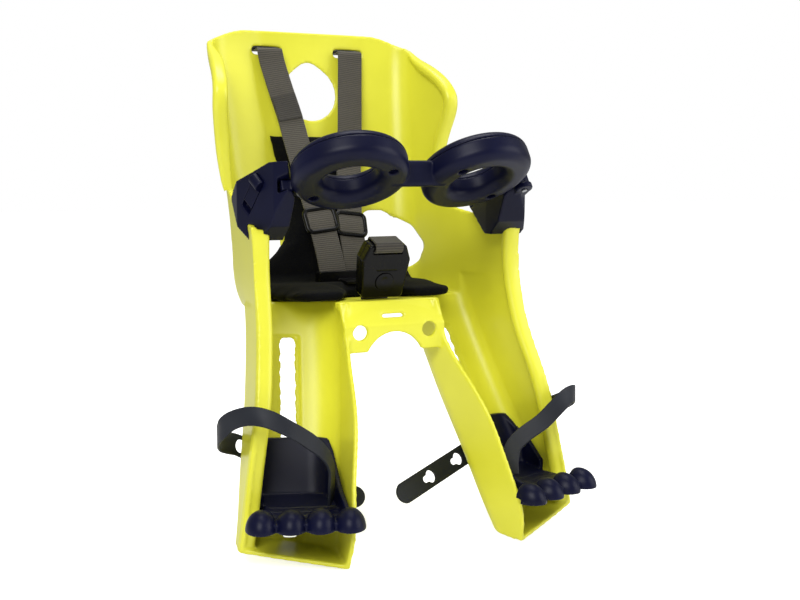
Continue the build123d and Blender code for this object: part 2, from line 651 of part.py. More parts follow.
def strap_loop(x):
    """The turns of a shoulder strap round its anchor bar, as points."""
    centre = anchor_centre(x)
    radius = ANCHOR_R + CLEAR + WEB_T / 2
    turns = [270, 300, 330, 0, 30, 60, 90, 120, 150, 175]
    return [(x, centre.Y + radius * cos(radians(a)), centre.Z + radius * sin(radians(a))) for a in turns]


def shoulder_strap(points, lean):
    """A shoulder strap from the loop behind the back to the tongue."""
    x = points[0][0]
    start = strap_loop(x)
    path = start[::-1] + [(x, 233, 276.2), (x, 227, 276.2)] + points
    across = [(1, 0, 0)] * (len(start) + 3) + [(1, 0, lean)] * (len(points) - 1)
    return ribbon(path, across, WEB_W, WEB_T)


def slider(points, at, lean):
    """Ladder slider round a strap at one of its points."""
    before, spot, after = [Vector(*points[i]) for i in (at - 1, at, at + 1)]
    tangent = (after - before).normalized()
    aim = Vector(1, 0, lean)
    aim = (aim - tangent * aim.dot(tangent)).normalized()
    plane = Plane(origin=spot, x_dir=aim, z_dir=tangent)
    frame = fillet(Box(SLIDER_W, SLIDER_T, SLIDER_L).edges().filter_by(Axis.Y), 3)
    frame -= Box(WEB_W + 1.6, WEB_T + 1.6, SLIDER_L + 10)
    for z in (-6, 6):
        frame -= Pos(0, 5, z) * Box(WEB_W + 1.4, 10, 6)
        frame -= Pos(0, -5, z) * Box(WEB_W + 1.4, 10, 6)
    return plane * frame


def harness_tongue():
    """Plate that both shoulder straps end in, with the blade for the buckle."""
    plate = fillet(Box(62, 15, 13).edges().filter_by(Axis.Y), 3)
    plate = Pos(0, 123, 40) * plate + Pos(0, 107, 37) * Box(22, 26, 3)
    for points, lean in ((LEFT_STRAP, LEFT_LEAN), (RIGHT_STRAP, RIGHT_LEAN)):
        plate -= ribbon(points[-4:], (1, 0, lean), WEB_W + 1.2, WEB_T + 1.0)
        plate -= ribbon([points[-1], [2 * b - a for a, b in zip(*points[-2:])]], (1, 0, lean), WEB_W + 1.2, WEB_T + 1.0) \
            & Pos(0, 0, points[-1][2]) * Box(200, 400, 2)
    return plate


def buckle_plane():
    """Plane of the crotch buckle: x across, y up along it, z out of its front."""
    lean = radians(BUCKLE_LEAN)
    return Plane(origin=BUCKLE_AT, x_dir=(1, 0, 0), z_dir=(0, -cos(lean), -sin(lean)))


def buckle_half(side):
    """Front (side 1) or back (side -1) housing of the buckle."""
    shape = make_face(Polyline(*BUCKLE_FRONT, close=True))
    shape = fillet(shape.vertices(), 4)
    body = extrude(shape, BUCKLE_T)
    body = chamfer(body.faces().sort_by(Axis.Z)[-1].edges(), 1.5)
    if side < 0:
        body = mirror(body, about=Plane.XY)
    return body


def buckle_front():
    """Front housing with the button's hole, the slot above it and half the tongue's mouth."""
    body = buckle_half(1)
    tools = [
        Pos(0, BUTTON_Y, BUCKLE_T / 2 + 1) * Cylinder(BUTTON_R + FIT, BUCKLE_T + 2),
        Pos(1, 1.5, BUCKLE_T) * Box(22, 1.2, 2),
        Pos(0, BUCKLE_SLOT_Y, 0) * Box(*BUCKLE_SLOT, 40),
    ]
    return buckle_plane() * (body - tools)


def buckle_back():
    """Back housing with the crotch strap's slot."""
    return buckle_plane() * (buckle_half(-1) - Pos(0, BUCKLE_SLOT_Y, 0) * Box(*BUCKLE_SLOT, 40))


def buckle_button():
    """Round release button, standing a little proud."""
    button = Pos(0, BUTTON_Y, BUCKLE_T - 2) * Cylinder(BUTTON_R, 6)
    return buckle_plane() * (button - Pos(0, BUTTON_Y + 2, BUCKLE_T + 12) * Sphere(11.6))


def crotch_anchor_centre():
    """Where the bar stands that the crotch strap is looped round under the pan."""
    under = PAN_FRONT_Z - PAN_SLOPE * (PAN_SLOT_Y - PAN_FRONT_Y) - PAN_WALL
    reach = ANCHOR_R + CLEAR + WEB_T
    return Vector(0, PAN_SLOT_Y + reach - WEB_T / 2, under - reach - 1)


def crotch_strap():
    """Webbing from its bar under the pan up behind the buckle, over the top bar and into the slot."""
    lean = radians(BUCKLE_LEAN)
    centre = crotch_anchor_centre()
    radius = ANCHOR_R + CLEAR + WEB_T / 2
    path = []
    for turn in (80, 50, 20, -10, -40, -70, -100, -130, -160, -180):
        path.append((0, centre.Y + radius * cos(radians(turn)), centre.Z + radius * sin(radians(turn))))
    path += [(0, PAN_SLOT_Y, 20), (0, PAN_SLOT_Y, 30)]
    for up, out in CROTCH_PATH:
        y = BUCKLE_AT[1] - up * sin(lean) - out * cos(lean)
        path.append((0, y, BUCKLE_AT[2] + up * cos(lean) - out * sin(lean)))
    return ribbon(path, (1, 0, 0), CROTCH_W, WEB_T)


def seat_pad():
    """The soft pad: a back panel and a pan panel in one piece, clear of the shell."""
    def over_pan(y, rise):
        return PAN_FRONT_Z - PAN_SLOPE * (y - PAN_FRONT_Y) + rise
    face = [(y, z if z > 10 else over_pan(y, PAD_T + z)) for y, z in PAD_FACE]
    side = [(30, 0), (30, over_pan(30, PAD_T)), *face, (260, PAD_FACE[-1][1]), (260, 0)]
    pad = extrude(Plane.YZ * make_face(Polyline(*side, close=True)), 120, both=True)
    front = [(x, z) for z, x in PAD_HALF] + [(110, 40), (110, -20)]
    front = [(-x, z) for x, z in front] + [(x, z) for x, z in reversed(front)]
    pad &= extrude(Plane.XZ * make_face(Polyline(*front, close=True)), 300, both=True)
    plan = PAD_PLAN + [(-x, y) for x, y in reversed(PAD_PLAN[1:-1])]
    pad &= extrude(make_face(Polyline(*plan, close=True)), 200)
    levels = [bucket_outline(level, WALL + CLEAR, level[7] - 80) for level in BUCKET_LEVELS]
    return largest((pad & loft(levels)) & pan_space(-CLEAR))


def foot_plane():
    """Plane of the right footrest: x outwards along the back wall, y backwards, z up."""
    yaw = radians(LEG_YAW)
    return Plane(origin=FOOT_AT, x_dir=(cos(yaw), sin(yaw), 0), z_dir=(0, 0, 1))


def footrest():
    """Right footrest: a tray with a back and two side walls, four toe lobes and the neck through the slot."""
    shift = Pos(*(leg_plane().z_dir * -(FOOT_ROOM - 1)))
    room = shift * loft([channel_outline(level, -FOOT_ROOM, 60) for level in LEG_LEVELS])
    hollow = shift * loft([channel_outline(level, -FOOT_ROOM - FOOT_WALL, 90) for level in LEG_LEVELS])
    inner = extrude(Plane.YZ * make_face(Polyline(*TRAY_INNER, close=True)), -80)
    outer = extrude(Plane.YZ * make_face(Polyline(*TRAY_OUTER, close=True)), 80)
    body = (foot_plane() * (inner + outer)) & (room - hollow)
    sole = Pos(0, 0, FOOT_LOW) * extrude(make_face(Polyline(*SOLE_PLAN, close=True)), SOLE_T)
    gusset = extrude(Plane.YZ * make_face(Polyline(*GUSSET, close=True)), FOOT_WALL)
    gusset = Pos(GUSSET_X, 0, 0) * Rot(0, 0, GUSSET_YAW) * gusset
    body += (foot_plane() * (sole + gusset)) & room
    body = foot_plane().location.inverse() * body
    for i in range(4):
        lobe = scale(Sphere(1), by=TOE_SIZE) & Pos(0, -30, 30) * Box(60, 72, 60)
        body += Pos(TOE_X + i * TOE_STEP, TOE_Y, FOOT_LOW) * lobe
    body -= [Pos(-12, y, FOOT_LOW + SOLE_T) * Box(60, 2, 2) for y in (-50, -62, -74)]
    body -= Pos(-60, -76, FOOT_LOW) * Box(18.4, 24, 8)
    body = foot_plane() * body
    neck_top = 2.0
    neck_low = -WALL - LOCK_GAP
    neck = leg_plane(NECK_DOWN, (neck_top + neck_low) / 2) * Box(SLOT_W - 2 * CLEAR, NECK_L, neck_top - neck_low)
    body += neck
    holes = [leg_plane(NECK_DOWN + d, neck_low + 3) * Cylinder(1.5 + FIT, 8) for d in (-10, 10)]
    return body - holes


def footrest_lock():
    """Plate behind the leg wall, with the stud that the foot strap hangs on."""
    face = -WALL - LOCK_GAP
    plate = leg_plane(NECK_DOWN, face - LOCK_T / 2) * fillet(Box(LOCK_W, LOCK_L, LOCK_T).edges().filter_by(Axis.Z), 5)
    stud = leg_plane(NECK_DOWN - STUD_UP, face - LOCK_T - 1.7) * Cylinder(STUD_R, 3.4)
    head = leg_plane(NECK_DOWN - STUD_UP, face - LOCK_T - 3.4 - 1.2) * Cylinder(STUD_HEAD_R, 2.4)
    holes = []
    for d in (-10, 10):
        holes.append(leg_plane(NECK_DOWN + d, face - LOCK_T / 2) * Cylinder(1.5 + FIT, LOCK_T + 2))
        holes.append(leg_plane(NECK_DOWN + d, face - LOCK_T + 0.5) * Cylinder(3.05, 3.1))
    return plate + stud + head - holes


def footrest_screws():
    """The two flush screws of a lock plate."""
    face = -WALL - LOCK_GAP
    screws = []
    for d in (-10, 10):
        shank = leg_plane(NECK_DOWN + d, face - 1) * Cylinder(1.5, 9)
        screws.append(shank + leg_plane(NECK_DOWN + d, face - LOCK_T + 1.2) * Cylinder(3, 1.6))
    return screws


def band_plane(side):
    """Plane of a foot strap's flat end: x up and outwards along it, z out of the channel."""
    face = -WALL - LOCK_GAP - LOCK_T
    level = leg_plane(NECK_DOWN - STUD_UP, face - BAND_T / 2 - 0.5)
    slope = radians(RIGHT_SLOPE if side > 0 else LEFT_SLOPE)
    return Plane(origin=level.origin, x_dir=level.x_dir * cos(slope) + level.y_dir * sin(slope), z_dir=level.z_dir)


def band_tail(side, reach):
    """The flat end of a foot strap over its stud, with more keyholes along it."""
    tail = Box(reach + 26, TAIL_W, BAND_T + 0.3)
    tail = Pos((26 - reach) / 2, 0, 0) * fillet(tail.edges().filter_by(Axis.Z), 9)
    slot = STUD_R + 0.1
    tools = []
    at = 0
    while at < reach - TAIL_W:
        tools.append(Pos(-at, 0, 0) * Cylinder(slot, 20))
        tools.append(Pos(KEYHOLE_AT / 2 - at, 0, 0) * Box(KEYHOLE_AT, 2 * slot, 20))
        tools.append(Pos(KEYHOLE_AT - at, 0, 0) * Cylinder(KEYHOLE_R, 20))
        at += BAND_STEP
    tail = band_plane(side) * (tail - tools)
    return tail if side > 0 else left(tail)


def foot_strap(band, side, reach):
    """A rubber foot strap, from the sole over the foot and round the back to its stud."""
    path = [spot for spot, _ in band]
    across = [aim for _, aim in band]
    for x in (26, 20):
        spot = band_plane(side).from_local_coords(Vector(x, 0, 0))
        aim = band_plane(side).y_dir
        path.append((side * spot.X, spot.Y, spot.Z))
        across.append((side * aim.X, aim.Y, aim.Z))
    return ribbon(path, across, BAND_W, BAND_T) + band_tail(side, reach)


def group(solids, *sides):
    """One shape of like solids, on the right (1), on the left (-1) or on both."""
    found = []
    for side in sides:
        for solid in solids:
            found += (solid if side > 0 else left(solid)).solids()
    return Compound(found)


def write(name, solid):
    print(name, len(solid.solids()), round(solid.volume), solid.is_valid)
    export_step(solid, f"parts/{name}.step")


os.makedirs("parts", exist_ok=True)
shell = seat_shell()
write("seat_shell", shell)
write("seat_pad", seat_pad())
write("bar_frame", bar_frame())
cap = ring_plane() * ring_cap()
write("bar_cap_right", cap)
write("bar_cap_left", left(cap))
write("bar_screws", group(bar_screws(), 1, -1))
write("bracket_right", bracket_right(shell))
write("bracket_left", bracket_left(shell))
write("bracket_screws", group(bracket_screws(), 1, -1))
write("hinge_pin", hinge_pin())
write("latch_button", latch_button())
for name, points, lean, at in (("left", LEFT_STRAP, LEFT_LEAN, 6), ("right", RIGHT_STRAP, RIGHT_LEAN, 6)):
    write(f"shoulder_strap_{name}", shoulder_strap(points, lean))
    write(f"strap_slider_{name}", slider(points, at, lean))
    bar = Rot(0, 90, 0) * Cylinder(ANCHOR_R, 44)
    write(f"strap_anchor_{name}", Pos(*anchor_centre(points[0][0])) * bar)
write("harness_tongue", harness_tongue())
write("buckle_front", buckle_front())
write("buckle_back", buckle_back())
write("buckle_button", buckle_button())
write("crotch_strap", crotch_strap())
write("crotch_anchor", Pos(*crotch_anchor_centre()) * Rot(0, 90, 0) * Cylinder(ANCHOR_R, 44))
rest = footrest()
lock = footrest_lock()
screws = footrest_screws()
write("footrest_right", rest)
write("footrest_left", left(rest))
write("footrest_lock_right", lock)
write("footrest_lock_left", left(lock))
write("footrest_screws_right", group(screws, 1))
write("footrest_screws_left", group(screws, -1))
write("foot_strap_right", foot_strap(RIGHT_BAND, 1, RIGHT_TAIL))
write("foot_strap_left", foot_strap(LEFT_BAND, -1, LEFT_TAIL))
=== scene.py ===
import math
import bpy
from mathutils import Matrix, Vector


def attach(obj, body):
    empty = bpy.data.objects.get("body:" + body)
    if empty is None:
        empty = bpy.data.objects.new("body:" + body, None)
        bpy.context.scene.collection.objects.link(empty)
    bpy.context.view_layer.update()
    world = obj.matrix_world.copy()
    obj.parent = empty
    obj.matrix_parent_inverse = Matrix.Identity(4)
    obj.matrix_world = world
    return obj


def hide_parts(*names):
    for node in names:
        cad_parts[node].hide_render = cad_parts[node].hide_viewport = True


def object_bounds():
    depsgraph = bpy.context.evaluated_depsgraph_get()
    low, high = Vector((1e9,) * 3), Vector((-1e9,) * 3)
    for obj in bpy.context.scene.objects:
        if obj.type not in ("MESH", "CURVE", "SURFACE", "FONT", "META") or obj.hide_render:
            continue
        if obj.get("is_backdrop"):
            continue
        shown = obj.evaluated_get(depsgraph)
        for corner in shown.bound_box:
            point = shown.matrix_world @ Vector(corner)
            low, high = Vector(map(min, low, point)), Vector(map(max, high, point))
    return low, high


bl_info = {
    "name": "Child Bike Seat",
    "version": (1, 0, 0),
    "blender": (4, 5, 0),
    "location": "View3D > Sidebar > Bike Seat",
    "description": "Dresses the CAD frame of a child bike seat in moulded, woven and padded pieces",
    "category": "Object",
}

import bmesh
import bpy
from bpy.props import FloatProperty, StringProperty
from mathutils import Matrix, Vector

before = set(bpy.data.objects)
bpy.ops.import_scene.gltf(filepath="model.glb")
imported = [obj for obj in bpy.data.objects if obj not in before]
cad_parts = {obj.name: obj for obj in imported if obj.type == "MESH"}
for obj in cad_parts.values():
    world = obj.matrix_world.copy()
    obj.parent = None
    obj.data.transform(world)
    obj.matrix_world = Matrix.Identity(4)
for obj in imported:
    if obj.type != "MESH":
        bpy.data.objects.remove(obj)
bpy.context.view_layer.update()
MM = 0.001
MERGE_M = 1e-6
RUN_STEPS = 6

# The photograph's view: where the camera stands, its turn, its dip and its lens
CAMERA_AT = (-0.42407, -0.92371, 0.15088)
CAMERA_YAW = math.radians(24.88)
CAMERA_DIP = math.radians(6.83)
LENS_MM = 49.6
SENSOR_MM = 36.0

# Soft square lamps, each aimed at the seat's middle: name, place, side in metres and power in watts
LIGHTS = (
    ("key", (-1.3, -1.6, 1.7), 1.4, 46),
    ("fill", (1.8, -1.2, 0.8), 1.6, 22),
    ("top", (0.2, 0.3, 2.0), 1.2, 20),
)
LIGHTS_AIM = (0, 0, 0.05)
FLOOR_SIDE = 16
FLOOR_LIFT = 0.75
WORLD_SOFT = 0.30

# Shoulder straps in millimetres: points down the middle, from behind the back to the tongue
ANCHOR_CENTRE = (240.5, 280.6)
ANCHOR_TURN_R = 4.2
SHOULDER_TURN = (175, 150, 120, 90, 60, 30, 0, -30, -60, -90)
BEHIND_SLOT = [(233, 276.2), (227, 276.2)]
LEFT_STRAP = [
    (-46, 222, 276), (-44, 219, 262), (-38, 209, 232), (-31, 200, 202), (-28, 186, 173),
    (-22, 167, 132), (-17, 150, 97), (-15, 133, 66), (-14.5, 124, 48), (-14.2, 121, 39),
]
RIGHT_STRAP = [
    (46, 222, 276), (45, 219, 262), (41, 210, 230), (35, 196, 191), (28, 182, 150), (21, 164, 115),
    (17, 151, 92), (15.5, 137, 66), (14.5, 129, 48), (14.2, 126, 39),
]
LEFT_LEAN = 0.15
RIGHT_LEAN = -0.12

# The slider's place along a strap, how far and how high the strap bulges under it, and its wire loop
SLIDER_POINT = 6
SLIDER_REACH = 16
SLIDER_LIFT = 1.6
LOOP_LIFT = 0.9
LOOP_WIDTH = 32
LOOP_HEIGHT = 25
LOOP_CORNER = 5.5
WIRE_R = 2.5
WIRE_SIDES = 12

# The stitched fold on the left strap: the points it runs between, its lift and how much narrower it is
FOLD_POINTS = (2, 3)
FOLD_LIFT = 1.7
FOLD_INSET = 1.0

# Crotch strap in the buckle's own plane: up the buckle and out of its front
BUCKLE_AT = (0.0, 31.5, 56.0)
BUCKLE_LEAN = math.radians(18.7)
CROTCH_ANCHOR = (54.2, 15.0)
CROTCH_TURN = (80, 50, 20, -10, -40, -70, -100, -130, -160, -180)
CROTCH_RISE = [(0, 50, 20), (0, 50, 30)]
CROTCH_PATH = [
    (-16, -11.5), (0, -10.6), (18, -10.6), (26, -10.4), (28.6, -8.5), (29, -5), (29, 5), (28.6, 8.5),
    (26, 10.6), (22.5, 10.8), (20.6, 9), (20.2, 6), (20.2, -6),
]

# Pad: mesh step and how far a point may swell, in millimetres, and the push inside it for so many frames
PAD_STEP = 4.0
PAD_CAP = 5.0
PAD_PRESSURE = 4.0
PAD_FRAMES = 20

# Foot straps in millimetres: points along the middle, each with the way its width runs
LEFT_BAND = [
    ((-90, -62, -135), (0.58, 0.73, 0.37)), ((-90.5, -65, -118), (0.58, 0.73, 0.37)),
    ((-91, -66, -104), (0.5, 0.75, 0.43)), ((-98, -70, -90), (0.4, 0.7, 0.6)),
    ((-112, -71, -77), (0.2, 0.5, 0.85)), ((-131, -71, -64), (0.1, 0.6, 0.8)),
    ((-147, -63, -56), (0, 0.6, 0.8)), ((-160, -52, -55), (-0.1, 0.3, 0.95)),
    ((-171, -39, -61), (-0.1, 0, 1)), ((-176, -27, -71), (0, -0.2, 1)),
    ((-174, -10, -80), (0, 0, 1)), ((-167, 8, -89), (0, 0, 1)),
    ((-157, 22, -95), (0, 0.1, 1)), ((-146, 32, -100), (0.1, 0.3, 1)), ((-137, 34, -105), (0.1, 0.4, 0.9)),
]
RIGHT_BAND = [
    ((90, -60, -132), (-0.58, 0.73, 0.37)), ((92, -56, -120), (-0.58, 0.73, 0.37)),
    ((97, -53, -108), (-0.4, 0.75, 0.5)), ((108, -55, -97), (-0.2, 0.7, 0.7)),
    ((125, -58, -86), (-0.1, 0.6, 0.8)), ((142, -56, -74), (0, 0.6, 0.8)),
    ((158, -50, -66), (0.1, 0.5, 0.9)), ((172, -40, -66), (0.1, 0.2, 1)),
    ((180, -26, -72), (0, 0, 1)), ((179, -10, -80), (0, 0, 1)),
    ((171, 8, -90), (0, 0, 1)), ((160, 23, -99), (0, 0.1, 1)), ((148, 33, -105), (-0.1, 0.3, 1)),
    ((138, 37, -109), (-0.1, 0.4, 0.9)),
]

# The back of a leg: its turn and lean, the top of its slot, and the stud that the foot strap buttons on
LEG_YAW = math.radians(18.6)
LEG_LEAN = math.radians(29.0)
SLOT_TOP = (83.7, 66.8, -9.8)
STUD_DOWN = 124.0
BAND_BEHIND = 12.1

# The foot strap's run behind the leg: its slope, its free end's length and how it widens there
LEFT_SLOPE = math.radians(26.0)
RIGHT_SLOPE = math.radians(13.0)
LEFT_TAIL = 76.0
RIGHT_TAIL = 126.0
TAIL_START = [26.0, 14.0, 0.0]
TAIL_STEP = 12.0
TAIL_SWELL = 1.25
SWELL_BEFORE = 40
SWELL_STEPS = 24
ROUND_END = (15, 30, 45, 60, 72, 82, 89)
LEAST_WIDTH = 0.03

# Keyholes: the spacing, then the round hole's distance from its slot's end, and the two radii
KEYHOLE_STEP = 43.0
KEYHOLE_AT = 8.0
KEYHOLE_R = 6.2
STUD_SLOT_R = 3.2


def linear(value):
    """One sRGB channel from 0 to 255 as a linear value."""
    value /= 255
    return value / 12.92 if value <= 0.04045 else ((value + 0.055) / 1.055) ** 2.4


def hex_colour(text):
    """A linear colour from an sRGB hex value."""
    return tuple(linear(int(text[i:i + 2], 16)) for i in (1, 3, 5)) + (1.0,)


def add(tree, kind, settings=None, **inputs):
    """Adds a node: settings go on the node, inputs are values or sockets for its inputs by name or number."""
    node = tree.nodes.new(kind)
    for name, value in (settings or {}).items():
        setattr(node, name, value)
    for name, value in inputs.items():
        numbered = name[0] == "i" and name[1:].isdigit()
        socket = node.inputs[int(name[1:]) if numbered else name.replace("_", " ")]
        if isinstance(value, bpy.types.NodeSocket):
            tree.links.new(value, socket)
        else:
            socket.default_value = value
    return node


def new_material(name):
    """An empty node material and its tree."""
    material = bpy.data.materials.new(name)
    material.use_nodes = True
    material.node_tree.nodes.clear()
    return material, material.node_tree


def ramp(tree, factor, stops):
    """A colour ramp over factor, its stops given as place and hex colour."""
    node = add(tree, "ShaderNodeValToRGB", Fac=factor)
    elements = node.color_ramp.elements
    while len(elements) < len(stops):
        elements.new(0.5)
    for element, (place, colour) in zip(elements, stops):
        element.position = place
        element.color = hex_colour(colour)
    return node.outputs["Color"]


def finish_shader(tree, normal, **inputs):
    """Ends a tree in a Principled shader with the normal given."""
    shader = add(tree, "ShaderNodeBsdfPrincipled", Normal=normal, **inputs)
    add(tree, "ShaderNodeOutputMaterial", Surface=shader.outputs["BSDF"])


def moulded_plastic(name, dark, light, rough, grain_mm, height_mm, specular=0.5):
    """Injection-moulded plastic: nearly even colour, slight flow marks, and the fine skin of its mould."""
    material, tree = new_material(name)
    place = add(tree, "ShaderNodeTexCoord").outputs["Object"]
    flow = add(tree, "ShaderNodeTexNoise", Vector=place, Scale=14.0, Detail=3.0, Roughness=0.5)
    grains = 1 / (grain_mm * MM)
    skin = add(tree, "ShaderNodeTexNoise", Vector=place, Scale=grains, Detail=2.0, Roughness=0.55)
    colour = ramp(tree, flow.outputs["Fac"], [(0.35, dark), (0.65, light)])
    worn = add(tree, "ShaderNodeMapRange", Value=flow.outputs["Fac"], To_Min=rough[0], To_Max=rough[1])
    bump = add(tree, "ShaderNodeBump", Height=skin.outputs["Fac"], Strength=1.0, Distance=height_mm * MM)
    finish_shader(tree, bump.outputs["Normal"], Base_Color=colour, Roughness=worn.outputs["Result"],
                  Specular_IOR_Level=specular)
    return material


def woven_webbing(name, groove_shade, yarn_colour, rib_mm, yarn_mm):
    """Polyester webbing: ribs run across it, each crossed by fine yarns along it, with a matt sheen; its
    colour darkens into the hollows of the weave as painted shade.
    """
    material, tree = new_material(name)
    flat = add(tree, "ShaderNodeUVMap", {"uv_map": "UVMap"}).outputs["UV"]
    split = add(tree, "ShaderNodeSeparateXYZ", Vector=flat)
    yarn_share = 0.35
    most = 1 + yarn_share

    def waves(socket, pitch_mm):
        pace = math.tau / (pitch_mm * MM)
        turn = add(tree, "ShaderNodeMath", {"operation": "MULTIPLY"}, i0=socket, i1=pace)
        return add(tree, "ShaderNodeMath", {"operation": "SINE"}, i0=turn.outputs[0]).outputs[0]

    ribs = waves(split.outputs["Y"], rib_mm)
    yarns = waves(split.outputs["X"], yarn_mm)
    mix = {"operation": "MULTIPLY_ADD"}
    weave = add(tree, "ShaderNodeMath", mix, i0=yarns, i1=yarn_share, i2=ribs).outputs[0]
    level = add(tree, "ShaderNodeMapRange", Value=weave, From_Min=-most, From_Max=most).outputs["Result"]
    place = add(tree, "ShaderNodeTexCoord").outputs["Object"]
    fuzz = add(tree, "ShaderNodeTexNoise", Vector=place, Scale=900.0, Detail=3.0)
    wear = add(tree, "ShaderNodeTexNoise", Vector=place, Scale=45.0, Detail=2.0)
    shade = add(tree, "ShaderNodeMath", mix, i0=fuzz.outputs["Fac"], i1=0.3, i2=level).outputs[0]
    tint = add(tree, "ShaderNodeMath", mix, i0=wear.outputs["Fac"], i1=0.25, i2=shade).outputs[0]
    # Painted shade: the colour runs from the yarns' colour on the raised yarns to a dark colour in the
    # hollows between ribs and yarns, over random fuzz and wear.
    colour = ramp(tree, tint, [(0.2, groove_shade), (1.0, yarn_colour)])
    bump = add(tree, "ShaderNodeBump", Height=shade, Strength=1.0, Distance=0.22 * MM)
    finish_shader(tree, bump.outputs["Normal"], Base_Color=colour, Roughness=0.72, Sheen_Weight=0.15,
                  Sheen_Roughness=0.5)
    return material


def pad_cloth(name, dark, light):
    """Close knitted polyester over foam: near black, matt, with a fine knit and a soft sheen."""
    material, tree = new_material(name)
    place = add(tree, "ShaderNodeTexCoord").outputs["Object"]
    knit = add(tree, "ShaderNodeTexVoronoi", Vector=place, Scale=1 / (1.6 * MM))
    soft = add(tree, "ShaderNodeTexNoise", Vector=place, Scale=30.0, Detail=4.0)
    colour = ramp(tree, soft.outputs["Fac"], [(0.3, dark), (0.75, light)])
    dimple = add(tree, "ShaderNodeBump", {"invert": True}, Height=knit.outputs["Distance"], Strength=0.8,
                 Distance=0.25 * MM)
    crease = add(tree, "ShaderNodeBump", Height=soft.outputs["Fac"], Strength=0.5, Distance=1.2 * MM,
                 Normal=dimple.outputs["Normal"])
    finish_shader(tree, crease.outputs["Normal"], Base_Color=colour, Roughness=0.9, Sheen_Weight=0.02,
                  Sheen_Roughness=0.4, Specular_IOR_Level=0.15)
    return material


def plain_steel(name):
    """Zinc-plated steel: screws and pins, with fine turning marks."""
    material, tree = new_material(name)
    place = add(tree, "ShaderNodeTexCoord").outputs["Object"]
    marks = add(tree, "ShaderNodeTexNoise", Vector=place, Scale=700.0, Detail=2.0)
    colour = ramp(tree, marks.outputs["Fac"], [(0.3, "#8E9094"), (0.7, "#A9ABAF")])
    bump = add(tree, "ShaderNodeBump", Height=marks.outputs["Fac"], Strength=0.4, Distance=0.02 * MM)
    finish_shader(tree, bump.outputs["Normal"], Base_Color=colour, Metallic=1.0, Roughness=0.38)
    return material


def floor_paper(name):
    """Pale studio paper that the camera sees near white, shadows kept."""
    material, tree = new_material(name)
    place = add(tree, "ShaderNodeTexCoord").outputs["Object"]
    grain = add(tree, "ShaderNodeTexNoise", Vector=place, Scale=8.0, Detail=2.0)
    colour = ramp(tree, grain.outputs["Fac"], [(0.3, "#F8F8F8"), (0.7, "#FAFAFA")])
    paper = add(tree, "ShaderNodeBsdfDiffuse", Color=colour)
    seen = add(tree, "ShaderNodeLightPath").outputs["Is Camera Ray"]
    lift = add(tree, "ShaderNodeEmission", Color=(1, 1, 1, 1), Strength=FLOOR_LIFT)
    none = add(tree, "ShaderNodeEmission", Strength=0.0)
    lifted = add(tree, "ShaderNodeMixShader", Fac=seen, i1=none.outputs[0], i2=lift.outputs[0])
    both = add(tree, "ShaderNodeAddShader", i0=paper.outputs[0], i1=lifted.outputs[0])
    add(tree, "ShaderNodeOutputMaterial", Surface=both.outputs[0])
    return material


def select_only(piece):
    """Leaves one object selected and active."""
    bpy.ops.object.select_all(action="DESELECT")
    piece.select_set(True)
    bpy.context.view_layer.objects.active = piece


def apply(piece, kind, **settings):
    """Adds a modifier to a piece and applies it."""
    select_only(piece)
    modifier = piece.modifiers.new(kind.title(), kind)
    for name, value in settings.items():
        setattr(modifier, name, value)
    bpy.ops.object.modifier_apply(modifier=modifier.name)


def paint(piece, material):
    """Gives a piece one material."""
    piece.data.materials.clear()
    piece.data.materials.append(material)


def copy_node(node, name):
    """A merged copy of a CAD node's mesh as a new piece."""
    piece = bpy.data.objects.new(name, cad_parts[node].data.copy())
    bpy.context.scene.collection.objects.link(piece)
    select_only(piece)
    bpy.ops.mesh.customdata_custom_splitnormals_clear()
    bpy.ops.object.mode_set(mode="EDIT")
    bpy.ops.mesh.select_all(action="SELECT")
    bpy.ops.mesh.remove_doubles(threshold=MERGE_M)
    bpy.ops.object.mode_set(mode="OBJECT")
    return piece


def moulded(node, name, body, material, voxel_mm, rounds, most_faces):
    """A CAD node with the soft, rounded edges that a mould leaves."""
    piece = copy_node(node, name)
    coarse = 1.0
    apply(piece, "REMESH", mode="VOXEL", voxel_size=voxel_mm * MM * coarse)
    apply(piece, "SMOOTH", factor=0.5, iterations=max(1, round(rounds / coarse)))
    faces = 2 * len(piece.data.polygons)
    if faces > most_faces:
        apply(piece, "DECIMATE", ratio=most_faces / faces)
    select_only(piece)
    bpy.ops.object.shade_smooth()
    paint(piece, material)
    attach(piece, body)
    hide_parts(node)
    return piece


def flow(points, aims):
    """A smooth run through points, in equal steps between them, with the width direction turning along it."""
    spots = [Vector(p) for p in points]
    turns = [Vector(a).normalized() for a in aims]
    found = []
    for i in range(len(spots) - 1):
        p = [spots[max(i - 1, 0)], spots[i], spots[i + 1], spots[min(i + 2, len(spots) - 1)]]
        for k in range(RUN_STEPS):
            t = k / RUN_STEPS
            place = 0.5 * (2 * p[1] + (p[2] - p[0]) * t + (2 * p[0] - 5 * p[1] + 4 * p[2] - p[3]) * t * t
                           + (3 * p[1] - p[0] - 3 * p[2] + p[3]) * t * t * t)
            found.append((place, turns[i].lerp(turns[i + 1], t)))
    found.append((spots[-1], turns[-1]))
    return found


def band_section(width, thick):
    """Points round a strap's cross-section, thinner at its edges: over the top, then back underneath."""
    half = width / 2
    edge = half - thick * 0.25
    xs = [-half, -edge, -half * 0.6, -half * 0.3, 0, half * 0.3, half * 0.6, edge, half]
    top = [(x, thick / 2 * (0.35 if abs(x) == half else 1)) for x in xs]
    return top + [(x, -z) for x, z in reversed(top)]


def frames(run, closed=False):
    """Place, width direction and face direction at each step of a run."""
    found = []
    last = len(run) - 1
    for i, (spot, aim) in enumerate(run):
        ahead = run[(i + 1) % len(run) if closed else min(i + 1, last)][0]
        behind = run[i - 1 if closed or i else 0][0]
        tangent = (ahead - behind).normalized()
        side = (aim - tangent * aim.dot(tangent)).normalized()
        found.append((spot, side, tangent.cross(side)))
    return found


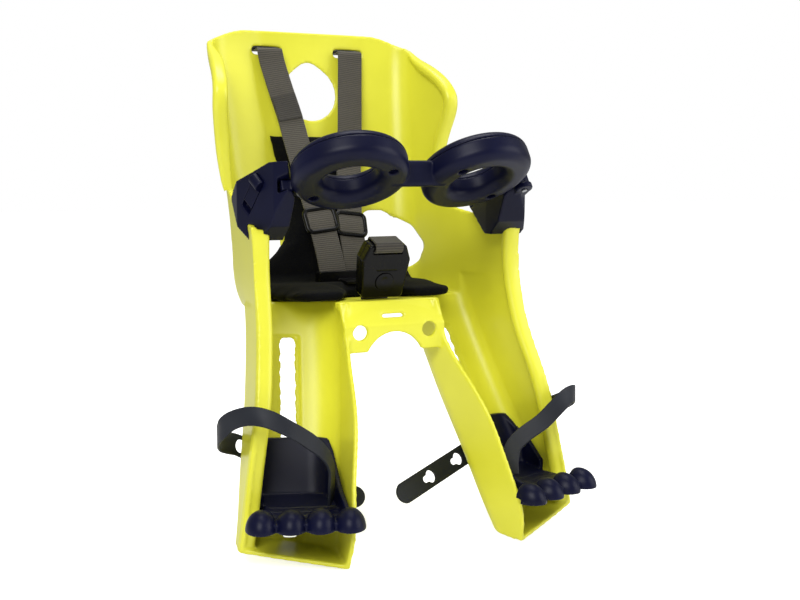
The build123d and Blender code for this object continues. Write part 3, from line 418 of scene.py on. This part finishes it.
def sweep(name, run, section, widths, material, closed=False, sharp=50):
    """A section swept along a run, with its UV map in metres: round it and along it."""
    count = len(section)
    mesh = bmesh.new()
    uv_layer = mesh.loops.layers.uv.new("UVMap")
    rings = []
    lengths = [0.0]
    for i, (spot, side, up) in enumerate(frames(run, closed)):
        rings.append([mesh.verts.new((spot + side * x * widths[i] + up * z) * MM) for x, z in section])
        if i:
            lengths.append(lengths[-1] + (spot - run[i - 1][0]).length)
    steps = len(rings) if closed else len(rings) - 1
    lengths.append(lengths[-1] + 1.0)
    for i in range(steps):
        after = rings[(i + 1) % len(rings)]
        for k in range(count):
            n = (k + 1) % count
            face = mesh.faces.new((rings[i][k], rings[i][n], after[n], after[k]))
            across = [section[k][0], section[n][0], section[n][0], section[k][0]]
            along = [lengths[i], lengths[i], lengths[i + 1], lengths[i + 1]]
            for loop, u, v in zip(face.loops, across, along):
                loop[uv_layer].uv = (u * MM, v * MM)
            face.smooth = True
    if not closed:
        mesh.faces.new(rings[0][::-1])
        mesh.faces.new(rings[-1])
    bmesh.ops.recalc_face_normals(mesh, faces=mesh.faces)
    data = bpy.data.meshes.new(name)
    mesh.to_mesh(data)
    mesh.free()
    piece = bpy.data.objects.new(name, data)
    bpy.context.scene.collection.objects.link(piece)
    paint(piece, material)
    select_only(piece)
    bpy.ops.object.shade_smooth_by_angle(angle=math.radians(sharp))
    return piece


def strap_mesh(name, run, width, thick, material, widths=None):
    """A strap swept along a run of places and width directions."""
    return sweep(name, run, band_section(width, thick), widths or [1.0] * len(run), material)


def wire_loop(name, spot, across, along, material):
    """A slider's rounded rectangular loop of wire, in a plane given by its place and its two directions."""
    path = []
    for cx, cy, start in ((1, 1, 0), (-1, 1, 90), (-1, -1, 180), (1, -1, 270)):
        for step in range(0, 91, 15):
            a = math.radians(start + step)
            x = cx * (LOOP_WIDTH / 2 - LOOP_CORNER) + LOOP_CORNER * math.cos(a)
            y = cy * (LOOP_HEIGHT / 2 - LOOP_CORNER) + LOOP_CORNER * math.sin(a)
            path.append((spot + across * x + along * y, across.cross(along)))
    turns = [math.tau * k / WIRE_SIDES for k in range(WIRE_SIDES)]
    section = [(WIRE_R * math.cos(turn), WIRE_R * math.sin(turn)) for turn in turns]
    return sweep(name, path, section, [1.0] * len(path), material, closed=True, sharp=80)


def turn_round(x, centre, degrees):
    """Points of a strap that turns round an anchor bar, in millimetres."""
    y, z = centre
    turns = [math.radians(angle) for angle in degrees]
    return [(x, y + ANCHOR_TURN_R * math.cos(a), z + ANCHOR_TURN_R * math.sin(a)) for a in turns]


def face_front(out):
    """A direction, turned where it has to be so that it leaves the seat's front."""
    return out if out.y < 0 else -out


def keyhole(piece, spot, along, across, out):
    """Cuts a keyhole through a strap: a round hole with a narrow slot running along it."""
    turn = Matrix((along, across, out)).transposed().to_4x4()
    tools = []
    for kind, at, size in (("round", KEYHOLE_AT, KEYHOLE_R), ("box", KEYHOLE_AT / 2, STUD_SLOT_R),
                           ("round", 0.0, STUD_SLOT_R)):
        bpy.ops.object.select_all(action="DESELECT")
        if kind == "round":
            bpy.ops.mesh.primitive_cylinder_add(vertices=40, radius=size * MM, depth=12 * MM)
        else:
            bpy.ops.mesh.primitive_cube_add(size=1)
        tool = bpy.context.active_object
        if kind == "box":
            tool.data.transform(Matrix.Diagonal((KEYHOLE_AT * MM, 2 * size * MM, 11.5 * MM, 1)))
        tool.data.transform(Matrix.Translation(spot * MM) @ turn @ Matrix.Translation((at * MM, 0, 0)))
        tools.append(tool)
    for tool in tools:
        apply(piece, "BOOLEAN", operation="DIFFERENCE", object=tool)
        bpy.data.objects.remove(tool)


def swell(piece, cap):
    """Inflates a foam piece by a cloth simulation: up to cap where it is open, not against the shell."""
    still = [(v.co.copy(), max(0.0, -v.normal.y, v.normal.z)) for v in piece.data.vertices]
    select_only(piece)
    modifier = piece.modifiers.new("Swell", "CLOTH")
    cloth = modifier.settings
    cloth.use_pressure = True
    cloth.uniform_pressure_force = PAD_PRESSURE
    cloth.effector_weights.gravity = 0.0
    cloth.tension_stiffness = 12.0
    cloth.compression_stiffness = 12.0
    cloth.bending_stiffness = 0.8
    scene = bpy.context.scene
    for number in range(1, PAD_FRAMES + 1):
        scene.frame_set(number)
    bpy.ops.object.modifier_apply(modifier=modifier.name)
    scene.frame_set(1)
    for vertex, (before, share) in zip(piece.data.vertices, still):
        step = vertex.co - before
        vertex.co = before + step.normalized() * min(step.length, cap * share)


def leg_point(down, across, up, behind, side):
    """A place behind a leg's back wall, in millimetres, from its slot's top."""
    h = Vector((math.cos(LEG_YAW), math.sin(LEG_YAW), 0))
    level = math.cos(LEG_LEAN)
    n = Vector((math.sin(LEG_YAW) * level, -math.cos(LEG_YAW) * level, math.sin(LEG_LEAN)))
    u = n.cross(h)
    spot = Vector(SLOT_TOP) - u * down + h * across + u * up - n * behind
    return Vector((side * spot.x, spot.y, spot.z))


class SeatColours(bpy.types.PropertyGroup):
    shell: StringProperty(name="Shell", description="Hex colour of the lit plastic", default="#EAE840")
    navy: StringProperty(name="Bar and footrests", description="Hex colour of the nylon", default="#0B0E2C")
    # The webbing colour is that of its raised yarns; the hollows between them get a darker painted shade.
    webbing: StringProperty(name="Webbing", description="Hex colour of the raised yarns", default="#4A453B")
    rubber: StringProperty(name="Foot straps", description="Hex colour of the rubber", default="#25282F")


class SeatSizes(bpy.types.PropertyGroup):
    shell_voxel: FloatProperty(name="Shell detail", description="Mesh step of the shell, in mm", default=1.5)
    web_width: FloatProperty(name="Webbing width", description="Width of the webbing, in mm", default=28.0)
    web_thick: FloatProperty(name="Webbing thickness", description="Its thickness, in mm", default=1.8)
    band_width: FloatProperty(name="Foot strap width", description="Its width, in mm", default=16.0)
    band_thick: FloatProperty(name="Foot strap thickness", description="Its thickness, in mm", default=2.2)


def material_named(name):
    """A finish of the seat, made once and then found again."""
    found = bpy.data.materials.get(name)
    if found:
        return found
    colours = bpy.context.scene.seat_colours
    if name == "yellow_polypropylene":
        return moulded_plastic(name, "#E4E23A", colours.shell, (0.30, 0.38), grain_mm=0.9, height_mm=0.012)
    if name == "navy_nylon":
        return moulded_plastic(name, "#080A22", colours.navy, (0.32, 0.42), grain_mm=0.5, height_mm=0.010,
                               specular=0.16)
    if name == "black_acetal":
        return moulded_plastic(name, "#040405", "#070708", (0.22, 0.32), grain_mm=0.5, height_mm=0.008,
                               specular=0.2)
    if name == "foot_strap_rubber":
        return moulded_plastic(name, "#1E2026", colours.rubber, (0.42, 0.55), grain_mm=0.4, height_mm=0.02,
                               specular=0.2)
    # Each webbing gets a dark painted shade colour for the hollows of its weave, then the colour of its
    # raised yarns.
    if name == "harness_webbing":
        return woven_webbing(name, "#1A1814", colours.webbing, rib_mm=2.2, yarn_mm=1.4)
    if name == "fold_webbing":
        return woven_webbing(name, "#12100D", "#38342D", rib_mm=2.2, yarn_mm=1.4)
    if name == "pad_knit":
        return pad_cloth(name, "#010103", "#040509")
    return plain_steel("zinc_steel")


class SEAT_OT_shell(bpy.types.Operator):
    """Make the yellow moulded shell"""
    bl_idname = "seat.shell"
    bl_label = "Shell"

    def execute(self, context):
        sizes = context.scene.seat_sizes
        moulded("seat_shell", "shell", "seat", material_named("yellow_polypropylene"),
                sizes.shell_voxel, rounds=5, most_faces=190000)
        return {"FINISHED"}


class SEAT_OT_bar(bpy.types.Operator):
    """Make the safety bar, its brackets and its latch"""
    bl_idname = "seat.bar"
    bl_label = "Safety bar"

    def execute(self, context):
        navy = material_named("navy_nylon")
        for node in ("bar_frame", "bar_cap_left", "bar_cap_right"):
            moulded(node, node + "_moulded", "safety_bar", navy, 0.9, rounds=2,
                    most_faces=90000)
        for node in ("bracket_left", "bracket_right"):
            moulded(node, node + "_moulded", "seat", navy, 0.9, rounds=3, most_faces=60000)
        moulded("latch_button", "latch_thumb", "latch_button", navy, 0.5, rounds=3,
                most_faces=20000)
        return {"FINISHED"}


class SEAT_OT_footrests(bpy.types.Operator):
    """Make both footrests and their lock plates"""
    bl_idname = "seat.footrests"
    bl_label = "Footrests"

    def execute(self, context):
        navy = material_named("navy_nylon")
        for side in ("left", "right"):
            body = f"footrest_{side}_slide"
            moulded(f"footrest_{side}", f"foot_tray_{side}", body, navy, 0.9, rounds=5,
                    most_faces=90000)
            moulded(f"footrest_lock_{side}", f"foot_lock_{side}", body, navy, 0.6, rounds=3,
                    most_faces=20000)
        return {"FINISHED"}


class SEAT_OT_buckle(bpy.types.Operator):
    """Make the buckle, its button and the harness tongue"""
    bl_idname = "seat.buckle"
    bl_label = "Buckle and sliders"

    def execute(self, context):
        black = material_named("black_acetal")
        for node in ("buckle_front", "buckle_back", "harness_tongue"):
            moulded(node, node + "_moulded", "seat", black, 0.45, rounds=2, most_faces=40000)
        moulded("buckle_button", "buckle_press", "buckle_button", black, 0.4, rounds=3,
                most_faces=20000)
        return {"FINISHED"}


class SEAT_OT_harness(bpy.types.Operator):
    """Weave the shoulder straps and the crotch strap"""
    bl_idname = "seat.harness"
    bl_label = "Harness webbing"

    def execute(self, context):
        sizes = context.scene.seat_sizes
        webbing = material_named("harness_webbing")
        black = material_named("black_acetal")
        for side, points, lean in (("left", LEFT_STRAP, LEFT_LEAN), ("right", RIGHT_STRAP, RIGHT_LEAN)):
            x = points[0][0]
            start = turn_round(x, ANCHOR_CENTRE, SHOULDER_TURN) + [(x, y, z) for y, z in BEHIND_SLOT]
            aims = [(1, 0, 0)] * (len(start) + 1) + [(1, 0, lean)] * (len(points) - 1)
            run = flow(start + points, aims)
            spot, across, out = frames(run)[(len(start) + SLIDER_POINT) * RUN_STEPS]
            out = face_front(out)
            along = out.cross(across)
            for i, (place, aim) in enumerate(run):
                gap = abs((place - spot).dot(along))
                if gap < SLIDER_REACH and i > len(SHOULDER_TURN) * RUN_STEPS:
                    rise = 0.5 + 0.5 * math.cos(math.pi * gap / SLIDER_REACH)
                    run[i] = (place + out * SLIDER_LIFT * rise, aim)
            strap = strap_mesh(f"shoulder_webbing_{side}", run, sizes.web_width, sizes.web_thick, webbing)
            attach(strap, "seat")
            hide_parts(f"shoulder_strap_{side}")
            loop = wire_loop(f"slider_loop_{side}", spot + out * LOOP_LIFT, across, along, black)
            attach(loop, "seat")
            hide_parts(f"strap_slider_{side}")
            if side == "left":
                first, last = [(len(start) + at) * RUN_STEPS + 1 for at in FOLD_POINTS]
                under = list(zip(run, frames(run)))[first:last]
                fold = [(place + face_front(up) * FOLD_LIFT, aim) for (place, aim), (_, _, up) in under]
                piece = strap_mesh("stitched_fold", fold, sizes.web_width - FOLD_INSET, sizes.web_thick,
                                   material_named("fold_webbing"))
                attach(piece, "seat")
        path = turn_round(0, CROTCH_ANCHOR, CROTCH_TURN) + CROTCH_RISE
        for up, out in CROTCH_PATH:
            y = BUCKLE_AT[1] - up * math.sin(BUCKLE_LEAN) - out * math.cos(BUCKLE_LEAN)
            path.append((0, y, BUCKLE_AT[2] + up * math.cos(BUCKLE_LEAN) - out * math.sin(BUCKLE_LEAN)))
        run = flow(path, [(1, 0, 0)] * len(path))
        strap = strap_mesh("crotch_webbing", run, sizes.web_width, sizes.web_thick, webbing)
        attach(strap, "seat")
        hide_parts("crotch_strap")
        return {"FINISHED"}


class SEAT_OT_foot_straps(bpy.types.Operator):
    """Make the two rubber foot straps with their keyholes"""
    bl_idname = "seat.foot_straps"
    bl_label = "Foot straps"

    def execute(self, context):
        sizes = context.scene.seat_sizes
        rubber = material_named("foot_strap_rubber")
        for side, sign, band, tail, slope in (("left", -1, LEFT_BAND, LEFT_TAIL, LEFT_SLOPE),
                                              ("right", 1, RIGHT_BAND, RIGHT_TAIL, RIGHT_SLOPE)):
            points = [spot for spot, _ in band]
            aims = [aim for _, aim in band]
            low = leg_point(STUD_DOWN, 0, 0, 0, sign)
            high = leg_point(STUD_DOWN, -math.sin(slope), math.cos(slope), 0, sign)
            end = sizes.band_width * TAIL_SWELL / 2
            stops = list(TAIL_START)
            while stops[-1] > end - tail:
                stops.append(max(stops[-1] - TAIL_STEP, end - tail))
            stops += [-tail + end * (1 - math.sin(math.radians(a))) for a in ROUND_END]
            for at in stops:
                points.append(leg_point(STUD_DOWN, at * math.cos(slope), at * math.sin(slope), BAND_BEHIND,
                                        sign))
                aims.append(high - low)
            run = flow(points, aims)
            stud = leg_point(STUD_DOWN, 0, 0, BAND_BEHIND, sign)
            tip = leg_point(STUD_DOWN, -tail * math.cos(slope), -tail * math.sin(slope), BAND_BEHIND, sign)
            widths = []
            wider = len(band) * RUN_STEPS - SWELL_BEFORE
            for i, (spot, _) in enumerate(run):
                left_over = (spot - tip).length
                share = 1.0
                if i > wider:
                    share = 1.0 + (TAIL_SWELL - 1.0) * min(1.0, (i - wider) / SWELL_STEPS)
                if i > (len(band) + 2) * RUN_STEPS and left_over < end:
                    share *= max(LEAST_WIDTH, math.sqrt(max(0.0, 1 - (1 - left_over / end) ** 2)))
                widths.append(share)
            strap = strap_mesh(f"foot_band_{side}", run, sizes.band_width, sizes.band_thick, rubber, widths)
            along = (stud - tip).normalized()
            across = (high - low).normalized()
            out = along.cross(across)
            at = 0.0
            while at < tail - 2 * end:
                keyhole(strap, stud - along * at, along, across, out)
                at += KEYHOLE_STEP
            if side == "left":
                reach = 0.0
                for i in range(len(band) * RUN_STEPS, 0, -1):
                    reach += (run[i][0] - run[i - 1][0]).length
                    if reach > KEYHOLE_STEP - TAIL_START[0]:
                        break
                spot, aim, _ = frames(run)[i]
                ahead = (run[i - 1][0] - run[i + 1][0]).normalized()
                keyhole(strap, spot, ahead, aim, ahead.cross(aim))
            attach(strap, f"footrest_{side}_slide")
            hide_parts(f"foot_strap_{side}")
        return {"FINISHED"}


class SEAT_OT_pad(bpy.types.Operator):
    """Swell the foam pad in its knitted cover"""
    bl_idname = "seat.pad"
    bl_label = "Pad"

    def execute(self, context):
        piece = copy_node("seat_pad", "knit_pad")
        apply(piece, "REMESH", mode="VOXEL", voxel_size=PAD_STEP * MM)
        apply(piece, "SMOOTH", factor=0.5, iterations=10)
        swell(piece, PAD_CAP * MM)
        apply(piece, "SMOOTH", factor=0.5, iterations=2)
        apply(piece, "SUBSURF", levels=1, render_levels=1)
        select_only(piece)
        bpy.ops.object.shade_smooth()
        paint(piece, material_named("pad_knit"))
        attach(piece, "seat")
        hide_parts("seat_pad")
        return {"FINISHED"}


class SEAT_OT_hardware(bpy.types.Operator):
    """Finish the screws, the pin and the anchor bars"""
    bl_idname = "seat.hardware"
    bl_label = "Screws and pins"

    def execute(self, context):
        for node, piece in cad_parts.items():
            if any(word in node for word in ("screws", "pin", "anchor")):
                paint(piece, material_named("zinc_steel"))
        return {"FINISHED"}


class SEAT_OT_stage(bpy.types.Operator):
    """Set up the pale floor, the soft lights and the camera"""
    bl_idname = "seat.stage"
    bl_label = "Stage"

    def execute(self, context):
        scene = context.scene
        scene.view_settings.view_transform = "Standard"
        floor_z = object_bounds()[0][2] - MM
        bpy.ops.object.select_all(action="DESELECT")
        bpy.ops.mesh.primitive_plane_add(size=1, location=(0, 0, 0))
        floor = context.active_object
        floor.name = "floor"
        size = Matrix.Diagonal((FLOOR_SIDE, FLOOR_SIDE, 1, 1))
        floor.data.transform(Matrix.Translation((0, 0, floor_z)) @ size)
        paint(floor, floor_paper("studio_paper"))
        floor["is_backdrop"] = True
        world = bpy.data.worlds.new("studio")
        scene.world = world
        world.use_nodes = True
        tree = world.node_tree
        tree.nodes.clear()
        path = add(tree, "ShaderNodeLightPath")
        seen = add(tree, "ShaderNodeMath", {"operation": "MAXIMUM"}, i0=path.outputs["Is Camera Ray"],
                   i1=path.outputs["Is Transmission Ray"])
        soft = add(tree, "ShaderNodeBackground", Color=(1, 1, 1, 1), Strength=WORLD_SOFT)
        white = add(tree, "ShaderNodeBackground", Color=(1, 1, 1, 1), Strength=1.0)
        mixed = add(tree, "ShaderNodeMixShader", Fac=seen.outputs[0], i1=soft.outputs[0], i2=white.outputs[0])
        add(tree, "ShaderNodeOutputWorld", Surface=mixed.outputs[0])
        for name, spot, size, power in LIGHTS:
            light = bpy.data.objects.new(name, bpy.data.lights.new(name, "AREA"))
            light.data.size = size
            light.data.energy = power
            light.location = spot
            light.rotation_euler = (Vector(LIGHTS_AIM) - Vector(spot)).to_track_quat("-Z", "Y").to_euler()
            scene.collection.objects.link(light)
        camera = bpy.data.objects.new("camera", bpy.data.cameras.new("camera"))
        camera.data.lens = LENS_MM
        camera.data.sensor_width = SENSOR_MM
        camera.location = CAMERA_AT
        camera.rotation_euler = (math.pi / 2 - CAMERA_DIP, 0, -CAMERA_YAW)
        scene.collection.objects.link(camera)
        scene.camera = camera
        return {"FINISHED"}


class SEAT_PT_panel(bpy.types.Panel):
    """Lists the seat's colours, sizes and build steps"""
    bl_label = "Bike Seat"
    bl_idname = "SEAT_PT_panel"
    bl_space_type = "VIEW_3D"
    bl_region_type = "UI"
    bl_category = "Bike Seat"

    def draw(self, context):
        scene = context.scene
        for group in (scene.seat_colours, scene.seat_sizes):
            for name in group.__annotations__:
                self.layout.prop(group, name)
        for operator in STEPS:
            self.layout.operator(operator.bl_idname)


STEPS = (SEAT_OT_shell, SEAT_OT_bar, SEAT_OT_footrests, SEAT_OT_buckle, SEAT_OT_harness, SEAT_OT_foot_straps,
         SEAT_OT_pad, SEAT_OT_hardware, SEAT_OT_stage)
CLASSES = (SeatColours, SeatSizes, *STEPS, SEAT_PT_panel)


def register():
    for cls in CLASSES:
        bpy.utils.register_class(cls)
    bpy.types.Scene.seat_colours = bpy.props.PointerProperty(type=SeatColours)
    bpy.types.Scene.seat_sizes = bpy.props.PointerProperty(type=SeatSizes)


def unregister():
    del bpy.types.Scene.seat_sizes
    del bpy.types.Scene.seat_colours
    for cls in reversed(CLASSES):
        bpy.utils.unregister_class(cls)


def main():
    register()
    bpy.ops.seat.shell()
    bpy.ops.seat.bar()
    bpy.ops.seat.footrests()
    bpy.ops.seat.buckle()
    bpy.ops.seat.harness()
    bpy.ops.seat.foot_straps()
    bpy.ops.seat.pad()
    bpy.ops.seat.hardware()
    bpy.ops.seat.stage()


if __name__ == "__main__":
    main()
